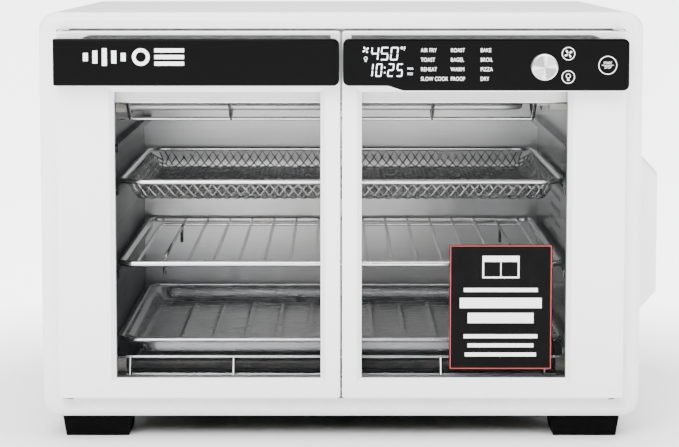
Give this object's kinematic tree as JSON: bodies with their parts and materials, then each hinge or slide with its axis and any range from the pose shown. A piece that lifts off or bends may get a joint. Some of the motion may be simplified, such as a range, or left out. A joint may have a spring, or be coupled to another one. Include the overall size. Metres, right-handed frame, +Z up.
{
  "type": "toaster oven",
  "caption": "Countertop air-fryer toaster oven with French doors that swing on pivot hinges, a control panel with a knob, sliding basket, rack and trays, and a fan.",
  "frame": {"origin": "centre of the oven's whole footprint, on the worktop", "axes": "+X to the oven's right seen from the front, +Y to its back, +Z up"},
  "size_m": [0.476, 0.3826, 0.326],
  "materials": {
    "white_paint": "satin powder coat",
    "zinc_steel": "galvanised",
    "cavity_steel": "brushed stainless",
    "heater_sheath": "dark oxidised",
    "wire_steel": "bright plated",
    "tray_steel": "satin",
    "crumb_aluminium": "satin",
    "black_gloss": "polished",
    "black_moulded": "fine texture",
    "knob_metal": "turned and brushed",
    "door_glass": "tempered",
    "lamp_glass": "pressed",
    "ceramic": "unglazed",
    "circuit_board": "solder mask",
    "display_face": "smoked",
    "label_film": "printed film",
    "nylon": "natural",
    "machine_steel": "turned",
    "magnet": "ferrite"
  },
  "bodies": {
    "casing": {"outer_casing": "white_paint", "front_frame": "white_paint", "rear_panel": "white_paint", "fan_motor_cover": "white_paint", "base_pan": "zinc_steel", "fan_housing": "zinc_steel", "front_left_foot": "black_moulded", "front_right_foot": "black_moulded", "rear_left_foot": "black_moulded", "rear_right_foot": "black_moulded", "foot_screws": "machine_steel", "rear_screws": "machine_steel", "cord_gland": "black_moulded", "cavity_left_wall": "cavity_steel", "cavity_right_wall": "cavity_steel", "cavity_back_wall": "cavity_steel", "cavity_ceiling": "cavity_steel", "cavity_floor": "cavity_steel", "cavity_front_flange": "cavity_steel", "lamp_lens": "lamp_glass", "lamp_holder": "ceramic", "temperature_sensor": "ceramic", "lower_heater_front": "heater_sheath", "lower_heater_rear": "heater_sheath", "upper_heater": "heater_sheath", "heater_insulators": "ceramic", "upper_guard_front": "wire_steel", "upper_guard_rear": "wire_steel", "lower_guard_front": "wire_steel", "lower_guard_rear": "wire_steel", "fan_motor": "zinc_steel", "power_board": "circuit_board", "left_hinge_plates": "machine_steel", "right_hinge_plates": "machine_steel", "hinge_washers": "nylon", "magnet_catches": "magnet"},
    "left_door": {"left_door_panel": "white_paint", "left_door_glass": "door_glass", "left_door_liner": "cavity_steel", "left_door_screws": "machine_steel", "left_handle_strip": "black_gloss"},
    "right_door": {"right_door_panel": "white_paint", "right_door_glass": "door_glass", "right_door_liner": "cavity_steel", "right_door_screws": "machine_steel", "control_panel": "black_gloss", "control_board": "circuit_board", "display_module": "display_face", "knob_encoder": "machine_steel", "window_label": "label_film"},
    "knob": {"control_knob": "knob_metal", "knob_shaft": "machine_steel"},
    "fan": {"fan_impeller": "crumb_aluminium", "fan_shaft": "machine_steel"},
    "air_fry_basket": {"basket_rim": "wire_steel", "basket_mesh": "wire_steel"},
    "wire_rack": {"rack_frame": "wire_steel", "rack_wires": "wire_steel"},
    "tray": {"baking_tray": "tray_steel"},
    "crumbs": {"crumb_tray": "crumb_aluminium"}
  },
  "joints": [
    {"name": "left_door_hinge", "type": "hinge", "parent": "casing", "child": "left_door", "pos_m": [-0.2195, -0.1607, 0.173], "axis": [0, 0, -1], "range_deg": [0, 100]},
    {"name": "right_door_hinge", "type": "hinge", "parent": "casing", "child": "right_door", "pos_m": [0.1995, -0.1607, 0.173], "axis": [0, 0, 1], "range_deg": [0, 100]},
    {"name": "knob_turn", "type": "hinge", "parent": "right_door", "child": "knob", "pos_m": [0.14, -0.1837, 0.2866], "axis": [0, -1, 0], "continuous": true},
    {"name": "fan_spin", "type": "hinge", "parent": "casing", "child": "fan", "pos_m": [0.18, -0.0037, 0.15513], "axis": [1, 0, 0], "continuous": true},
    {"name": "basket_slide", "type": "slide", "parent": "casing", "child": "air_fry_basket", "axis": [0, -1, 0], "range_m": [0, 0.02]},
    {"name": "rack_slide", "type": "slide", "parent": "casing", "child": "wire_rack", "axis": [0, -1, 0], "range_m": [0, 0.02]},
    {"name": "tray_slide", "type": "slide", "parent": "casing", "child": "tray", "axis": [0, -1, 0], "range_m": [0, 0.02]},
    {"name": "crumb_tray_slide", "type": "slide", "parent": "casing", "child": "crumbs", "axis": [0, -1, 0], "range_m": [0, 0.008]}
  ]
}
